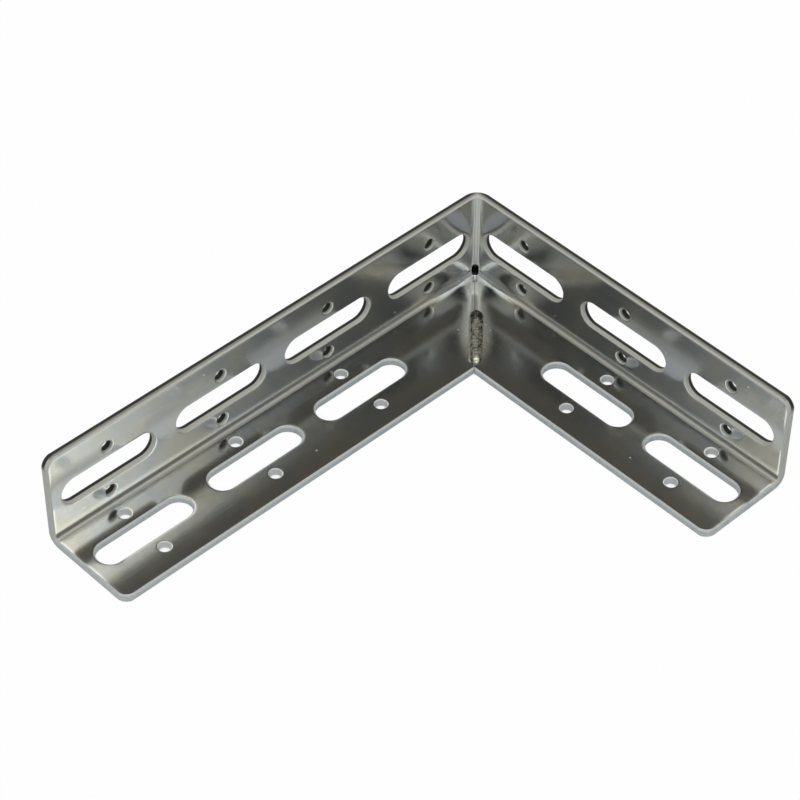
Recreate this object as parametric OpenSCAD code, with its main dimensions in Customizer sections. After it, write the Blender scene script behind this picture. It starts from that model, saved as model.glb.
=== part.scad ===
// Angle bracket: an L-section steel strip with slots and small holes, folded to a right angle on its
// upright flange. The lower flange is notched at the fold, so its two halves meet in a mitre, which a
// weld bead closes. Slots and holes are punched from the inner faces: the punch rolls the edge that it
// enters, and where a slot's punch leaves, the sheet breaks out a little wider, as it does along the
// sheared edges. Millimetres. The shapes are drawn from the outer corner, with the long arm along +X,
// the short arm along +Y and the upright flange along +Z. The finished part is then placed with its
// origin at the middle of its outline, on the surface that it rests on.

/* [Arms] */
// Outside length of the long arm, from the corner to its free end
long_arm = 202; // [120:1:500]
// Outside length of the short arm, from the corner to its free end
short_arm = 152; // [100:1:400]
// Radius of the flanges' corners at the free ends
end_r = 4.5; // [1:0.5:10]

/* [Section] */
// Height of the upright flange, from the underside
upright_h = 40; // [36:1:70]
// Width of the lower flange, from the outer face
lower_w = 40; // [36:1:55]
// Thickness of the sheet
sheet_t = 3; // [1.5:0.1:4]
// Inner radius of the bend between the two flanges
bend_r = 1.5; // [0.5:0.1:2.5]
// Inner radius of the upright fold at the corner
fold_r = 3; // [1:0.1:4]

/* [Slots] */
// Length of a slot, end to end
slot_l = 40; // [20:1:42]
// Width of a slot
slot_w = 10.5; // [6:0.5:14]
// Distance from one slot's centre to the next
slot_pitch = 50; // [46:1:80]
// Distance from an arm's free end to the centre of its first slot
slot_end = 25; // [23:1:50]
// Distance from the outer face or the underside to the slots' centre line
slot_line = 20; // [19:0.5:22]

/* [Small holes] */
// Diameter of a small hole
hole_d = 4.5; // [3:0.1:6.5]
// Distance between the two small holes beside a slot, across it
hole_span = 21; // [19:0.5:24]

/* [Cut edges] */
// Width of the rolled edge where punch and shear enter, on the inner faces
roll_w = 0.6; // [0.2:0.1:0.8]
// Width of the rolled edge round a small hole
hole_roll_w = 0.3; // [0.1:0.05:0.5]
// How much wider a slot breaks out where the punch leaves, on each side
break_w = 0.25; // [0.05:0.05:0.4]
// Depth of that break from the outer face
break_h = 1.1; // [0.3:0.1:1.2]

/* [Mitre and weld] */
// Width of the open seam between the lower flange's halves
seam_w = 0.3; // [0.1:0.05:0.8]
// Diameter of the relief hole where the seam meets the fold
relief_d = 2.6; // [1.5:0.1:3.6]
// Height of the relief hole's rounded top above the underside
relief_top = 7.5; // [6.5:0.1:12]
// Length of the weld bead
weld_l = 28; // [10:0.5:34]
// Distance from the bead's end to the flange's inner corner
weld_inset = 2.5; // [1:0.5:12]
// Width of the bead
weld_w = 4.2; // [3:0.1:6]
// Height of the bead above the flange
weld_h = 0.9; // [0.5:0.1:1.4]
// Distance from one ripple of the bead to the next
ripple_pitch = 1.6; // [1.2:0.1:2.5]
// Depth of the open groove that is left under the bead
root_gap = 0.8; // [0.3:0.1:1.2]

/* [Hidden] */
$fn = 48;
// How far a cutter runs past the face that it cuts
past = 1;
bend_out = bend_r + sheet_t;
fold_out = fold_r + sheet_t;
mitre_l = lower_w * sqrt(2);
// Where the fold's inner face crosses the mitre, measured along the mitre from the outer corner
fold_face = fold_out * sqrt(2) - fold_r;
weld_to = mitre_l - weld_inset;
weld_from = weld_to - weld_l;
// A bead's ripple is the cap of a ball that is as wide as the bead where it meets the flange
ripple_r = (pow(weld_w / 2, 2) + pow(weld_h, 2)) / (2 * weld_h);
ripple_run = weld_l - weld_w;
ripple_gaps = max(1, round(ripple_run / ripple_pitch));

// Slot centres along an arm, from its free end back to the last slot that clears the corner's stretch
function slot_places(arm, clear) =
    [for (x = arm - slot_end; x - slot_l / 2 >= clear; x = x - slot_pitch) x];

// Section of a straight stretch of sheet from its inner end to a cut edge at x = 0, outer face at y = 0
module cut_edge() {
    polygon([
        [-bend_out, 0],
        [-break_w, 0],
        [0, break_h],
        [0, sheet_t - roll_w],
        [-roll_w, sheet_t],
        [-bend_out, sheet_t]
    ]);
}

// Profile of the strip: the lower flange along X, the upright one along Y, the bend at the origin
module section() {
    translate([bend_out, 0])
        square([lower_w - 2 * bend_out, sheet_t]);
    translate([lower_w, 0])
        cut_edge();
    translate([0, bend_out])
        square([sheet_t, upright_h - 2 * bend_out]);
    translate([0, upright_h])
        rotate([0, 0, 90])
            mirror([0, 1, 0])
                cut_edge();
    intersection() {
        square(bend_out);
        translate([bend_out, bend_out])
            difference() {
                circle(bend_out);
                circle(bend_r);
            }
    }
}

// Half of what a small punch takes out, in section, from the middle out to the wall: clean through from
// the outer face at y = 0, and rolled at the inner face
module pierced(half, roll) {
    polygon([
        [0, -past],
        [half, -past],
        [half, sheet_t - roll],
        [half + roll + past, sheet_t + past],
        [0, sheet_t + past]
    ]);
}

// The same for a slot's larger punch, where the sheet also breaks out at the outer face
module punched(half) {
    pierced(half, roll_w);
    polygon([[0, -past], [half + break_w, -past], [half + break_w, 0], [half, break_h], [0, break_h]]);
}

// A slot along X
module slot_cut() {
    straight = slot_l - slot_w;
    translate([-straight / 2, 0, 0])
        rotate([90, 0, 90])
            linear_extrude(straight)
                for (side = [0, 1])
                    mirror([side, 0])
                        punched(slot_w / 2);
    for (side = [0, 180])
        rotate([0, 0, side])
            translate([straight / 2, 0, 0])
                rotate([0, 0, -90])
                    rotate_extrude(angle = 180)
                        punched(slot_w / 2);
}

// What shapes a free end of a flange: the rounded corner, and the rolled edge round it and along the end
module end_cut(len, width) {
    translate([len - end_r, width - end_r, -past]) {
        difference() {
            cube([end_r + past, end_r + past, sheet_t + 2 * past]);
            cylinder(r = end_r, h = sheet_t + 2 * past);
        }
    }
    translate([len - end_r, width - end_r, sheet_t - roll_w])
        difference() {
            cube([end_r + past, end_r + past, roll_w + past]);
            cylinder(r1 = end_r, r2 = end_r - roll_w - past, h = roll_w + past);
        }
    translate([len, bend_out, sheet_t])
        rotate([-90, 0, 0])
            linear_extrude(width - end_r - bend_out)
                polygon([[-roll_w - past, -past], [past, -past], [past, roll_w + past]]);
}

// All that is cut from one flange of an arm: the slots that clear the stretch near the corner, the
// small holes beside them, and the free end
module flange_cuts(len, width, clear) {
    for (x = slot_places(len, clear))
        translate([x, slot_line, 0]) {
            slot_cut();
            for (side = [-1, 1])
                translate([0, side * hole_span / 2, 0])
                    rotate_extrude()
                        pierced(hole_d / 2, hole_roll_w);
        }
    end_cut(len, width);
}

// A straight arm along +X, from the fold's end to its free end. Its lower flange stops at the mitre
module arm(len) {
    difference() {
        translate([fold_out, 0, 0])
            rotate([90, 0, 90])
                linear_extrude(len - fold_out)
                    section();
        flange_cuts(len, lower_w, lower_w);
        mirror([0, 1, -1])
            flange_cuts(len, upright_h, fold_out + roll_w);
        translate([len - roll_w, bend_out, bend_out])
            rotate([0, 90, 0])
                cylinder(r1 = bend_r, r2 = bend_r + roll_w + past, h = roll_w + past);
        rotate([0, 0, 45])
            translate([0, -seam_w / 2, -past])
                cube([mitre_l + past, lower_w, bend_out + 2 * past]);
    }
}

// The fold at the corner: the profile turned a quarter about the fold's upright axis, open at the mitre
module fold() {
    difference() {
        translate([fold_out, fold_out, 0])
            rotate([0, 0, 180])
                rotate_extrude(angle = 90)
                    intersection() {
                        translate([fold_out, 0])
                            mirror([1, 0])
                                section();
                        square([fold_out, upright_h]);
                    }
        rotate([0, 0, 45])
            translate([fold_face, -seam_w / 2, -past])
                cube([fold_out, seam_w, bend_out + 2 * past]);
    }
}

// The relief hole that lets the fold close over the notch, round at its top
module relief() {
    rotate([0, 0, 45])
        translate([fold_face, 0, 0]) {
            translate([0, 0, -past])
                cylinder(d = relief_d, h = relief_top - relief_d / 2 + past);
            translate([0, 0, relief_top - relief_d / 2])
                sphere(d = relief_d);
        }
}

// The weld: overlapping round ripples along the mitre, down to the open groove at the root
module weld() {
    first = weld_from + weld_w / 2;
    rotate([0, 0, 45])
        intersection() {
            for (i = [0 : ripple_gaps])
                translate([first + ripple_run * i / ripple_gaps, 0, sheet_t + weld_h - ripple_r])
                    sphere(ripple_r);
            translate([weld_from - past, -weld_w, root_gap])
                cube([weld_l + 2 * past, 2 * weld_w, sheet_t + weld_h - root_gap + past]);
        }
}

module bracket() {
    color([0.62, 0.63, 0.6])
        translate([-long_arm / 2, -short_arm / 2, 0]) {
            difference() {
                union() {
                    fold();
                    arm(long_arm);
                    mirror([1, -1, 0])
                        arm(short_arm);
                }
                relief();
            }
            weld();
        }
}

bracket();
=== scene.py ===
"""Looks of a zinc-plated angle bracket: its finish, its weld bead, a pale table and a soft studio light.

Lengths are in millimetres in the values and formulas. Each mesh is scaled to metres once, when it is made.
"""
import math

import bpy
import numpy as np
from mathutils import Matrix, Vector


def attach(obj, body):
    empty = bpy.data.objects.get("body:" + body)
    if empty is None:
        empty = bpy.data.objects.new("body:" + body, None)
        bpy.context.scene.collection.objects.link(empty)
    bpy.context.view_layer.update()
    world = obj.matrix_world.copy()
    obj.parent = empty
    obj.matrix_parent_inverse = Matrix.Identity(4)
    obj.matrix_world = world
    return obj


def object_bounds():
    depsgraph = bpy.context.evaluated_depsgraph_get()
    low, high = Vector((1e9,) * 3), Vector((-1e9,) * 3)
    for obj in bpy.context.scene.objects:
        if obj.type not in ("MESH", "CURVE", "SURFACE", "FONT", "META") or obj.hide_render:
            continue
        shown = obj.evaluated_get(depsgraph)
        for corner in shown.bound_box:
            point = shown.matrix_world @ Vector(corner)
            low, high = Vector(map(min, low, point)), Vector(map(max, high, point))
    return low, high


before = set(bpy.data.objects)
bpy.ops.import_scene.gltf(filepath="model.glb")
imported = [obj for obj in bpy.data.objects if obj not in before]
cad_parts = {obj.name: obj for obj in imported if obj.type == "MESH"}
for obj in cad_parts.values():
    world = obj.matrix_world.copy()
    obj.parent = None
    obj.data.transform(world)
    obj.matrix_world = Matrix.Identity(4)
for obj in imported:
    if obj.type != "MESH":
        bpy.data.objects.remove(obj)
cad_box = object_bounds()

MM = 0.001

# Sheet and strip, as the CAD has them
SHEET = 3.0
FLANGE = 40.0
BEND_RADIUS = 1.5
FOLD_RADIUS = 3.0
CORNER = Vector(cad_box[0]) / MM
LONG_ARM, SHORT_ARM = (Vector(cad_box[1]) / MM - CORNER).xy

# Slots and small holes: the first place's distance from the corner, and the sizes that they share
FIRST_SLOT = 27.0
SLOT_PITCH = 50.0
SLOT_LINE = 20.0
SLOT_RADIUS = 5.25
SLOT_STRAIGHT = 29.5
HOLE_LINE = 10.5
HOLE_RADIUS = 2.25

# Cut edges: how far and how deep a face curves down to one, and how deep from the outer face the sheet broke
ROLL_WIDTH = 1.5
HOLE_ROLL_WIDTH = 0.7
ROLL_DEPTH = 0.07
SEAM_ROLL_WIDTH = 2.4
SEAM_ROLL_DEPTH = 0.28
BREAK_DEPTH = 1.65

# Farther from an edge than any of its curves reaches
FAR = 50.0

# How far past the bend and the fold the faces still curve a little, and by how much at their edges. The
# flange's curve starts from the middle of the bend, and it is deeper beside the corner
BEND_MIDDLE = 3.44
BEND_TAIL = 2.2
BEND_TAIL_DEPTH = 0.07
CORNER_TAIL_DEPTH = 0.24
FOLD_TAIL = 7.0
FOLD_TAIL_DEPTH = 0.3

# Relief hole at the top of the seam: its axis along the mitre from the outer corner, and its rounded top
RELIEF_AT = 5.485
RELIEF_RADIUS = 1.3
RELIEF_TOP = 7.5

# Weld bead, measured along the mitre from the outer corner, and the zone that its heat has dulled
WELD_START = 25.9
WELD_END = 54.4
BEAD_WIDTH = 5.2
BEAD_HEIGHT = 1.15
BEAD_RIPPLE = 1.6
BEAD_LEAN = 0.6
CRATER_AT = 52.8
HEAT_MIDDLE = 36.5
HEAT_HALF_LENGTH = 19.5
HEAT_HALF_WIDTH = 6.4
HEAT_LEAN = 0.7

# Painted shade: near black, deep in the uprights' small holes, where their sheet broke out, and in the
# relief hole
PAINTED_SHADE_BLACK = (0.03, 0.03, 0.025)

# Camera, from the edges of the photographed bracket
CAMERA_PLACE = Vector((463.27, 470.68, 698.43))
CAMERA_AZIMUTH = math.radians(136.105)
CAMERA_ELEVATION = math.radians(44.328)
CAMERA_ROLL = math.radians(0.496)
CAMERA_LENS = 126.27
SENSOR = 36.0


class Value:
    """A socket of a shader. Arithmetic on it adds Math nodes."""

    def __init__(self, shader, socket):
        self.shader = shader
        self.socket = socket

    def math(self, operation, *others):
        inputs = dict(enumerate((self, *others)))
        return self.shader.add("ShaderNodeMath", {"operation": operation}, inputs)

    def reflected(self, operation, other):
        return self.shader.add("ShaderNodeMath", {"operation": operation}, {0: other, 1: self})

    def __add__(self, other):
        return self.math("ADD", other)

    def __radd__(self, other):
        return self.reflected("ADD", other)

    def __sub__(self, other):
        return self.math("SUBTRACT", other)

    def __rsub__(self, other):
        return self.reflected("SUBTRACT", other)

    def __mul__(self, other):
        return self.math("MULTIPLY", other)

    def __truediv__(self, other):
        return self.math("DIVIDE", other)

    def __pow__(self, other):
        return self.math("POWER", other)

    def max(self, other):
        return self.math("MAXIMUM", other)

    def min(self, other):
        return self.math("MINIMUM", other)

    def abs(self):
        return self.math("ABSOLUTE")

    def step(self, low, high):
        """0 below low, 1 above high, and a smooth rise between them; low may be the larger one."""
        inputs = {"Value": self, "From Min": low, "From Max": high}
        return self.shader.add("ShaderNodeMapRange", {"interpolation_type": "SMOOTHSTEP"}, inputs)


class Shader:
    """The node tree of a material or of the world."""

    def __init__(self, owner):
        owner.use_nodes = True
        self.tree = owner.node_tree
        self.tree.nodes.clear()

    def add(self, kind, settings=None, inputs=None, output=0):
        """Adds a node: first its settings, then its sockets' values or links. Returns one of its outputs."""
        node = self.tree.nodes.new(kind)
        for name, value in (settings or {}).items():
            setattr(node, name, value)
        for key, value in (inputs or {}).items():
            socket = self.find(node.inputs, key)
            if isinstance(value, Value):
                self.tree.links.new(value.socket, socket)
            else:
                socket.default_value = value
        return Value(self, self.find(node.outputs, output))

    @staticmethod
    def find(sockets, key):
        """A socket by its number, or the one in use by its name."""
        if isinstance(key, int):
            return [s for s in sockets if s.enabled][key]
        return next(s for s in sockets if s.enabled and s.name == key)

    def split(self, vector):
        """The three parts of a vector."""
        return [self.add("ShaderNodeSeparateXYZ", None, {0: vector}, i) for i in range(3)]

    def join(self, x, y, z):
        """A vector from its three parts."""
        return self.add("ShaderNodeCombineXYZ", None, {0: x, 1: y, 2: z})

    def mix(self, share, first, second):
        """Two colours mixed: the first where share is 0, the second where it is 1."""
        settings = {"data_type": "RGBA"}
        colours = [c if isinstance(c, Value) else (*c, 1.0) for c in (first, second)]
        inputs = {"Factor": share, "A": colours[0], "B": colours[1]}
        return self.add("ShaderNodeMix", settings, inputs, "Result")

    def noise(self, vector, scale, detail=2.0, roughness=0.5, distortion=0.0):
        """Smooth noise about 0.5, from 0 to 1."""
        inputs = {"Vector": vector, "Scale": scale, "Detail": detail, "Roughness": roughness}
        return self.add("ShaderNodeTexNoise", None, inputs | {"Distortion": distortion})

    def specks(self, vector, spacing, size):
        """1 on small round specks, about one in two cells of a grid with this spacing."""
        settings = {"feature": "F1"}
        inputs = {"Vector": vector, "Scale": 1 / spacing, "Randomness": 1.0}
        distance = self.add("ShaderNodeTexVoronoi", settings, inputs, "Distance")
        chance = self.add("ShaderNodeTexVoronoi", settings, inputs, "Color")
        return distance.step(size, size * 0.5) * self.split(chance)[0].step(0.45, 0.5)

    def bump(self, height, depth, normal=None):
        """A normal from a height of 0 to 1, which stands for depth in millimetres."""
        inputs = {"Height": height, "Distance": depth * MM, "Strength": 1.0}
        if normal is not None:
            inputs["Normal"] = normal
        return self.add("ShaderNodeBump", None, inputs)

    def finish(self, surface):
        """Sets what the material shows."""
        self.add_output("ShaderNodeOutputMaterial", surface)

    def add_output(self, kind, surface):
        node = self.tree.nodes.new(kind)
        self.tree.links.new(surface.socket, node.inputs["Surface"])


class Strip:
    """Where a point is on the folded strip, in millimetres, and which way its surface faces.

    along is the distance from the outer corner along the point's own arm, and across the distance from that
    arm's outer face: the larger and the smaller of the point's distances from the two outer faces. On either
    flange, level is the distance from the strip's outer bend and depth the distance from the outer face.
    """

    def __init__(self, shader):
        place = shader.add("ShaderNodeTexCoord", None, None, "Object")
        normal = shader.add("ShaderNodeTexCoord", None, None, "Normal")
        x, y, z = shader.split(place)
        from_short = x / MM - CORNER.x
        from_long = y / MM - CORNER.y
        self.on_long = (from_short - from_long).step(-0.01, 0.01)
        self.along = from_short.max(from_long)
        self.across = from_short.min(from_long)
        self.height = z / MM
        self.level = self.across.max(self.height)
        self.depth = self.across.min(self.height)
        self.on_lower = (self.across - self.height).step(-0.01, 0.01)
        self.on_mitre = (self.along + self.across) / math.sqrt(2.0)
        self.off_mitre = (self.along - self.across) / math.sqrt(2.0)
        self.place = shader.join(self.along, self.across, self.height)
        self.cut = self.cut_walls(normal)

    def cut_walls(self, normal):
        """1 on the walls and edges that punch and shear left, 0 on the sheet's two faces and its bends."""
        outer_bend = SHEET + BEND_RADIUS
        outer_fold = SHEET + FOLD_RADIUS
        x, y, z = (part.abs() for part in normal.shader.split(normal))
        side = self.on_long * y + (1 - self.on_long) * x
        turned = (x * x + y * y) ** 0.5
        in_fold = self.along.step(outer_fold + 0.1, outer_fold)
        side = side + in_fold * (turned - side)
        in_bend = self.height.step(outer_bend + 0.05, outer_bend)
        upright = side + in_bend * ((side * side + z * z) ** 0.5 - side)
        in_flange = self.across.step(outer_bend, outer_bend + 0.05)
        facing = upright + in_flange * (z - upright)
        return facing.step(0.86, 0.74)

    def in_bend(self):
        """1 in the bend between the flanges and just past it."""
        return self.height.step(5.6, 4.5) * self.across.step(5.2, 4.6)

    def from_slot_middle(self):
        """Distance along the arm to the middle of the nearest slot."""
        return (self.along - FIRST_SLOT).math("PINGPONG", SLOT_PITCH / 2)

    def far_where_uncut(self):
        """FAR at the first slot's place on the lower flanges, which have none there, and 0 elsewhere."""
        to_next = FIRST_SLOT + SLOT_PITCH / 2
        return self.on_lower * self.along.step(to_next + 0.1, to_next) * FAR

    def to_slot(self):
        """Distance to the nearest slot's wall."""
        past_straight = (self.from_slot_middle() - SLOT_STRAIGHT / 2).max(0.0)
        off_line = self.level - SLOT_LINE
        to_line = (past_straight * past_straight + off_line * off_line) ** 0.5
        return to_line - SLOT_RADIUS + self.far_where_uncut()

    def to_hole(self):
        """Distance to the nearest small hole's wall."""
        from_middle = self.from_slot_middle()
        off_line = (self.level - SLOT_LINE).abs() - HOLE_LINE
        to_middle = (from_middle * from_middle + off_line * off_line) ** 0.5
        return to_middle - HOLE_RADIUS + self.far_where_uncut()

    def to_end(self):
        """Distance to the arm's free end."""
        return SHORT_ARM + self.on_long * (LONG_ARM - SHORT_ARM) - self.along

    def to_rim(self):
        """Distance to the flange's long free edge or to the arm's end, whichever is nearer."""
        return (FLANGE - self.level).min(self.to_end())

    def to_seam(self):
        """Distance to the open mitre seam, on the lower flanges."""
        return self.off_mitre + (1 - self.on_lower) * FAR

    def in_relief(self):
        """1 on the wall of the relief hole at the top of the seam."""
        past_axis = self.on_mitre - RELIEF_AT
        into_dome = (self.height - (RELIEF_TOP - RELIEF_RADIUS)).max(0.0)
        squares = past_axis * past_axis + self.off_mitre * self.off_mitre + into_dome * into_dome
        return (squares ** 0.5).step(RELIEF_RADIUS + 0.08, RELIEF_RADIUS + 0.02)


def heated_zone(shader, strip):
    """1 on the pale oval round the bead, which its heat has dulled, with a wavering edge."""
    waver = (shader.noise(strip.place, 0.35, 3.0) - 0.5) * 0.3
    lengthways = (strip.on_mitre - HEAT_MIDDLE) / HEAT_HALF_LENGTH
    to_short_arm = strip.off_mitre * (1 - strip.on_long * 2)
    sideways = (to_short_arm - HEAT_LEAN) / HEAT_HALF_WIDTH
    reach = (lengthways * lengthways + sideways * sideways) ** 0.5 + waver
    return reach.step(1.2, 0.6) * strip.height.step(4.4, 3.4)


def wall_colour(shader, strip, scored):
    """Colour of the walls that punch and shear left.

    On the lower flanges they are bluish, palest in the small holes. On the uprights they are warmer, dark
    along the top edge, and black with painted shade deep in the small holes and where the sheet broke out
    (a real rough zone), but not at the ends.
    """
    upright = 1 - strip.on_lower
    in_hole = strip.to_hole().step(0.5, 0.3)
    end_wall = strip.to_end().step(0.7, 0.3) * strip.height.step(37, 34)
    # Painted shade: the uprights' band where the sheet broke out, and their small holes' deep walls, go
    # black, except at the free ends
    broke_out_shaded = strip.depth.step(BREAK_DEPTH, BREAK_DEPTH - 0.3) * upright * (1 - end_wall)
    painted_shade_mask = broke_out_shaded.max(in_hole * strip.depth.step(2.3, 1.7) * upright)
    sheared_top = strip.height.step(39.2, 39.5) * strip.depth.step(2.6, 2.2)
    tone = shader.mix(scored.step(0.3, 0.7) * 0.6, (0.68, 0.71, 0.73), (0.52, 0.545, 0.555))
    tone = shader.mix(upright * 0.7, tone, (0.60, 0.59, 0.54))
    # Painted light: the small holes' walls on the lower flanges are made pale
    tone = shader.mix(in_hole * strip.on_lower * 0.7, tone, (0.85, 0.86, 0.85))
    tone = shader.mix(sheared_top * 0.75, tone, (0.24, 0.24, 0.23))
    return shader.mix(painted_shade_mask, tone, PAINTED_SHADE_BLACK)


def soft_curves(shader, strip):
    """The normal of the inner faces' slow curves.

    They fall to the cut edges that the punch and the shear entered and to the seam beside the bead's start,
    and they rise to the bend between the flanges and, on the uprights, to the fold at the corner.
    """
    upright = 1 - strip.on_lower
    inside = strip.depth.step(SHEET / 2 - 0.1, SHEET / 2 + 0.1) * (1 - strip.cut)
    to_edge = strip.to_slot().min(strip.to_rim())
    fall = (1 - to_edge / ROLL_WIDTH).max(1 - strip.to_hole() / HOLE_ROLL_WIDTH).max(0.0).min(1.0)
    seam_fall = (1 - strip.to_seam() / SEAM_ROLL_WIDTH).max(0.0).min(1.0)
    seam_fall = seam_fall * strip.on_mitre.step(14, 18) * strip.on_mitre.step(30, 26)
    drop = (fall * fall * ROLL_DEPTH + seam_fall * seam_fall * SEAM_ROLL_DEPTH) * inside
    past_bend = strip.across.max(BEND_MIDDLE) - SHEET - BEND_RADIUS
    bend_tail = (1 - past_bend / BEND_TAIL).max(0.0) * inside
    bend_depth = BEND_TAIL_DEPTH + strip.along.step(36, 16) * CORNER_TAIL_DEPTH
    past_fold = strip.along - SHEET - FOLD_RADIUS
    fold_tail = (1 - past_fold / FOLD_TAIL).max(0.0).min(1.0) * upright * inside
    fold_depth = (0.25 + strip.height.step(28, 14) * 0.75) * FOLD_TAIL_DEPTH
    gain = bend_tail * bend_tail * bend_depth + fold_tail * fold_tail * fold_depth
    return shader.bump(gain - drop, 1.0)


def zinc_plate():
    """Bright zinc plate on rolled steel.

    The faces have streaks along the strip, faint clouds and specks. They are duller where the weld's heat
    reached, round the top of the seam and in the fold, and duller where the bend strained them. The bend is
    also darker away from the corner.
    The cut walls are dull and scored across the sheet, and the relief hole is painted dark as shade.
    """
    material = bpy.data.materials.new("zinc_plate")
    shader = Shader(material)
    strip = Strip(shader)
    lengthways = shader.join(strip.along * 0.05, strip.across * 1.3, strip.height * 1.3)
    crossways = shader.join(strip.along * 2.4, strip.across * 0.4, strip.height * 0.4)
    streaks = shader.noise(lengthways, 1.0, 4.0, 0.6)
    scored = shader.noise(crossways, 1.0, 3.0)
    clouds = shader.noise(strip.place, 0.06, 3.0, 0.55, 0.4)
    grain = shader.noise(strip.place, 0.8, 2.0, 0.6)
    specks = shader.specks(strip.place, 8.0, 0.045)
    heated = heated_zone(shader, strip)
    off_corner = strip.along.step(18, 40)

    tone = shader.mix(clouds.step(0.36, 0.64), (0.70, 0.725, 0.73), (0.74, 0.73, 0.68))
    tone = shader.mix(streaks.step(0.5, 0.8) * 0.25, tone, (0.55, 0.55, 0.52))
    tone = shader.mix(grain.step(0.35, 0.65) * 0.25, tone, (0.60, 0.60, 0.57))
    tone = shader.mix(specks * 0.8, tone, (0.92, 0.92, 0.90))
    tone = shader.mix(heated * 0.35, tone, (0.50, 0.48, 0.44))
    tone = shader.mix(strip.in_bend() * off_corner * 0.6, tone, (0.40, 0.39, 0.36))
    tone = shader.mix(strip.cut, tone, wall_colour(shader, strip, scored))
    # Painted shade: the relief hole's wall goes near black
    tone = shader.mix(strip.in_relief() * 0.9, tone, PAINTED_SHADE_BLACK)

    strained = strip.in_bend() * (0.1 + off_corner * 0.17)
    strained = strained.max(strip.on_lower * strip.on_mitre.step(11, 8) * 0.2)
    strained = strained.max(strip.along.step(6.8, 6.0) * 0.08)
    face_roughness = 0.15 + (clouds - 0.5) * 0.05 + (streaks - 0.5) * 0.08
    face_roughness = face_roughness + heated * 0.12 + specks * 0.4 + strained
    wall_roughness = 0.5 + scored * 0.12
    roughness = face_roughness + strip.cut * (wall_roughness - face_roughness)

    rolled = (streaks * 0.6 + grain * 0.4) * 0.12
    texture = rolled + strip.cut * (scored - rolled)
    shader.finish(shader.add("ShaderNodeBsdfPrincipled", None, {
        "Base Color": tone,
        "Metallic": 1.0 - strip.cut * 0.75,
        "Roughness": roughness,
        "Normal": shader.bump(texture, 0.024, soft_curves(shader, strip)),
    }))
    return material


def weld_metal():
    """The bead's own metal: dark rough scale with pits.

    It is lighter down the middle and along the long arm's side, and darkest where the weld began, near the
    corner. The crater where it ended is clean metal, made bright partly by a painted highlight.
    """
    material = bpy.data.materials.new("weld_metal")
    shader = Shader(material)
    place = shader.add("ShaderNodeTexCoord", None, None, "Object")
    x, y, z = shader.split(place)
    along = (x + y) / MM / math.sqrt(2.0) - (CORNER.x + CORNER.y) / math.sqrt(2.0)
    off = (y - x) / MM / math.sqrt(2.0) - (CORNER.y - CORNER.x) / math.sqrt(2.0)
    flat = shader.join(along, off, z / MM)
    scale = shader.noise(flat, 0.6, 3.0, 0.6)
    grit = shader.noise(flat, 2.2, 3.0, 0.7)
    burnt = along.step(WELD_START + 7, WELD_START + 2)
    past_crater = (along - CRATER_AT) * 0.6
    off_crater = off - 0.9
    to_crater = (past_crater * past_crater + off_crater * off_crater) ** 0.5 + (grit - 0.5) * 1.6
    # Clean metal at the crater, made bright as a painted highlight
    clean_and_painted_highlight = to_crater.step(1.1, 0.5)
    middle = (off - 0.4).abs().step(1.3, 0.3)
    rim = off.step(-1.2, -1.8)
    light = (scale * 1.1 + grit * 0.9 - 0.56 + middle * 0.12 - burnt * 0.18 + rim * 0.15).step(0.30, 0.62)
    tone = shader.mix(light, (0.03, 0.028, 0.024), (0.36, 0.35, 0.31))
    tone = shader.mix(rim * 0.6, tone, (0.60, 0.59, 0.52))
    tone = shader.mix(clean_and_painted_highlight, tone, (0.88, 0.87, 0.78))
    roughness = 0.32 + grit * 0.25 - clean_and_painted_highlight * 0.15
    normal = shader.bump(grit * 0.6 + scale * 0.4, 0.2)
    shader.finish(shader.add("ShaderNodeBsdfPrincipled", None, {
        "Base Color": tone,
        "Metallic": 0.92,
        "Roughness": roughness,
        "Normal": normal,
    }))
    return material


def grid_mesh(name, points, material):
    """A closed mesh from a grid of points: each row is a closed section, and both end rows are capped."""
    rows, columns, _ = points.shape
    index = np.arange(rows * columns).reshape(rows, columns)
    here = index[:-1]
    beyond = index[1:]
    quads = np.stack([here, beyond, np.roll(beyond, -1, 1), np.roll(here, -1, 1)], -1).reshape(-1, 4)
    faces = [*quads.tolist(), index[0].tolist(), index[-1][::-1].tolist()]
    mesh = bpy.data.meshes.new(name)
    mesh.from_pydata((points.reshape(-1, 3) * MM).tolist(), [], faces)
    mesh.materials.append(material)
    mesh.polygons.foreach_set("use_smooth", [True] * len(quads) + [False] * 2)
    mesh.update()
    piece = bpy.data.objects.new(name, mesh)
    bpy.context.scene.collection.objects.link(piece)
    return piece


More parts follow.
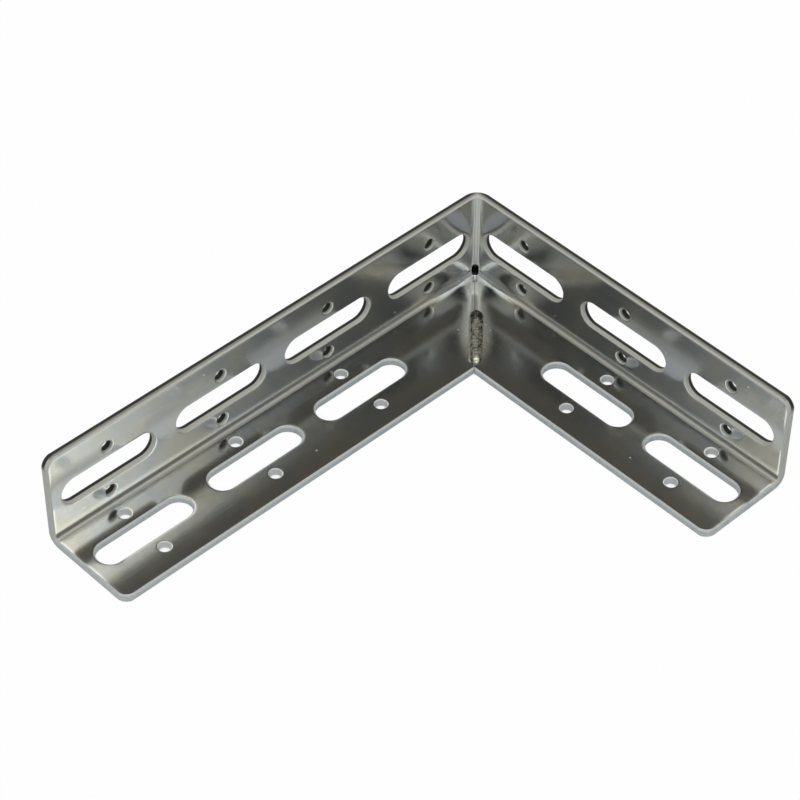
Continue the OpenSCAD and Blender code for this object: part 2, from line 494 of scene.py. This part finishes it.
def weld_bead(material):
    """The bead that closes the mitre.

    At a share a of its length, from 0 to 1, and b of its half width, from -1 to 1, the bead's top is at
    height * end * (1 - b^2)^0.6 * (1 + ripple). The ripple is a row of crescents: a sharpened sine of the
    distance along the bead plus the square of b. The factor end, (1 - |2a - 1|^9)^0.5, narrows the bead too,
    which rounds its ends bluntly. Waves of a few lengths make it uneven, and a dimple near the inner end is
    the crater. It leans to the short arm's side of the mitre, most where it starts.
    """
    rng = np.random.default_rng(7)
    a = np.linspace(0.0, 1.0, 221)[:, None]
    b = np.linspace(-1.0, 1.0, 33)[None, :]
    length = WELD_END - WELD_START
    run = a * length
    ends = np.clip(1.0 - np.abs(2.0 * a - 1.0) ** 9, 0.0004, 1.0) ** 0.5
    waves = sum(
        np.sin(run * rate + rng.uniform(0, 6.3) + b * rng.uniform(-2, 2)) / (i + 1.5)
        for i, rate in enumerate((0.7, 1.5, 2.6, 4.1))
    )
    half = BEAD_WIDTH / 2 * ends * (1.06 - 0.12 * a) * (1 + 0.03 * waves)
    phase = (run + 1.1 * b**2 + 0.12 * waves) * 2 * np.pi / BEAD_RIPPLE
    ripple = 0.14 * (np.abs(np.sin(phase / 2)) ** 0.7 - 0.5)
    crater = -0.2 * np.exp(-(((WELD_START + run - CRATER_AT) / 0.7) ** 2) - (b / 0.4) ** 2)
    rise = BEAD_HEIGHT * ends * (1 - b**2) ** 0.6 * (1 + ripple + 0.04 * waves + crater)
    root = SHEET - 0.4
    top = np.stack([
        np.broadcast_to(WELD_START + run, rise.shape),
        half * b + BEAD_LEAN * (1 - 0.4 * a),
        SHEET - 0.02 + rise,
    ], -1)
    bottom = top[:, ::-1].copy()
    bottom[..., 2] = root
    ring = np.concatenate([top, bottom], 1)
    turn = np.array([[1, -1, 0], [1, 1, 0], [0, 0, math.sqrt(2)]]) / math.sqrt(2)
    points = ring @ turn.T + np.array([CORNER.x, CORNER.y, 0.0])
    return grid_mesh("weld_bead", points, material)


def table():
    """A pale table top.

    It is white to the camera and still takes the bracket's shadow. To the metal it is a dimmer grey, with
    painted shade that darkens it behind the corner.
    """
    size = 4000.0
    corners = [(-size, -size, 0), (size, -size, 0), (size, size, 0), (-size, size, 0)]
    mesh = bpy.data.meshes.new("table_top")
    mesh.from_pydata([(x * MM, y * MM, z * MM) for x, y, z in corners], [], [(0, 1, 2, 3)])
    material = bpy.data.materials.new("pale_table")
    shader = Shader(material)
    is_camera = shader.add("ShaderNodeLightPath", None, None, "Is Camera Ray")
    is_glossy = shader.add("ShaderNodeLightPath", None, None, "Is Glossy Ray")
    lit = shader.add("ShaderNodeBsdfDiffuse", None, {"Color": (0.6, 0.62, 0.64, 1.0)})
    place = shader.add("ShaderNodeTexCoord", None, None, "Object")
    x, y, _ = shader.split(place)
    # Painted shade, seen only in the metal: the table darkens behind the corner
    forward = ((x + y) / MM).step(-120, 70)
    painted_shade_in_metal = shader.mix(forward, (0.19, 0.20, 0.24), (0.92, 0.96, 0.93))
    own_colour = shader.mix(is_glossy, (1.0, 1.0, 1.0), painted_shade_in_metal)
    own_light = shader.add("ShaderNodeEmission", None, {"Color": own_colour, "Strength": 1.0})
    open_sky = shader.add("ShaderNodeAmbientOcclusion", {"samples": 8}, {"Distance": 7 * MM}, "AO")
    share = is_camera * 0.98 * open_sky.step(0.02, 0.35) + is_glossy * 0.6
    shader.finish(shader.add("ShaderNodeMixShader", None, {0: share, 1: lit, 2: own_light}))
    mesh.materials.append(material)
    floor = bpy.data.objects.new("table_top", mesh)
    bpy.context.scene.collection.objects.link(floor)
    return floor


def studio():
    """The room as the bracket sees it, in degrees round from the viewer's side and up from the table.

    A pale wall of light stands on the viewer's side. It grows brighter towards its ends, where its foot is
    dark and where it stops short, and the viewer stands dark in its middle. Past its ends the room is dark,
    but for a dim light low over the table and a warm glow behind the bracket, with a gap high in the glow's
    middle. A soft ceiling joins the wall, brighter on the viewer's side.
    """
    world = bpy.data.worlds.new("studio")
    bpy.context.scene.world = world
    shader = Shader(world)
    direction = shader.add("ShaderNodeTexCoord", None, None, "Generated")
    x, y, z = shader.split(direction)
    front = x * math.sin(CAMERA_AZIMUTH) - y * math.cos(CAMERA_AZIMUTH)
    side = x * math.cos(CAMERA_AZIMUTH) + y * math.sin(CAMERA_AZIMUTH)
    turn = side.math("ARCTAN2", front).abs() * math.degrees(1.0)
    rise = z.math("ARCSINE") * math.degrees(1.0)
    viewer = turn.step(24, 8) * rise.step(52, 44) * rise.step(12, 26) * 0.68
    ends = turn.step(30, 76) * rise.step(28, 44)
    foot = turn.step(44, 62) * rise.step(35, 28)
    wall = 0.3 + rise.step(8, 34) * 0.5 + rise.step(36, 52) * 0.35 + ends * 1.15
    wall = wall * turn.step(81, 77) * (1 - viewer) * (1 - foot * 0.9)
    glow = turn.step(96, 128) * (0.42 + rise.step(32, 20) * 0.2)
    glow = glow * (1 - turn.step(158, 172) * rise.step(26, 34) * 0.85)
    ceiling = 1.3 + turn.step(90, 40) * rise.step(82, 66) * 0.6
    ceiling = ceiling - turn.step(80, 102) * rise.step(80, 62) * 0.85
    low_light = turn.step(76, 84) * rise.step(34, 18) * 0.32
    level = wall + glow.max(low_light)
    level = level + rise.step(50, 60) * (ceiling - level)
    is_camera = shader.add("ShaderNodeLightPath", None, None, "Is Camera Ray")
    tint = shader.mix(turn.step(80, 120), (0.985, 1.0, 0.975), (1.04, 0.985, 0.84))
    inputs = {
        "Color": shader.mix(is_camera, tint, (1.0, 1.0, 1.0)),
        "Strength": level + is_camera * (1 - level),
    }
    shader.add_output("ShaderNodeOutputWorld", shader.add("ShaderNodeBackground", None, inputs))


def camera():
    """The photograph's camera: its place, and its axes from azimuth, elevation and roll."""
    level = math.cos(CAMERA_ELEVATION)
    back = Vector((
        math.sin(CAMERA_AZIMUTH) * level,
        -math.cos(CAMERA_AZIMUTH) * level,
        math.sin(CAMERA_ELEVATION),
    ))
    right = Vector((math.cos(CAMERA_AZIMUTH), math.sin(CAMERA_AZIMUTH), 0.0))
    turned = Matrix.Rotation(CAMERA_ROLL, 3, back)
    axes = Matrix((turned @ right, turned @ back.cross(right), back)).transposed()
    data = bpy.data.cameras.new("camera")
    data.lens = CAMERA_LENS
    data.sensor_width = SENSOR
    data.clip_start = 0.05
    view = bpy.data.objects.new("camera", data)
    view.matrix_world = Matrix.Translation(CAMERA_PLACE * MM) @ axes.to_4x4()
    bpy.context.scene.collection.objects.link(view)
    bpy.context.scene.camera = view


camera()
studio()
table()

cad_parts["bracket"].data.materials[0] = zinc_plate()
bead = weld_bead(weld_metal())
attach(bead, "root")

bpy.context.scene.view_settings.view_transform = "Standard"
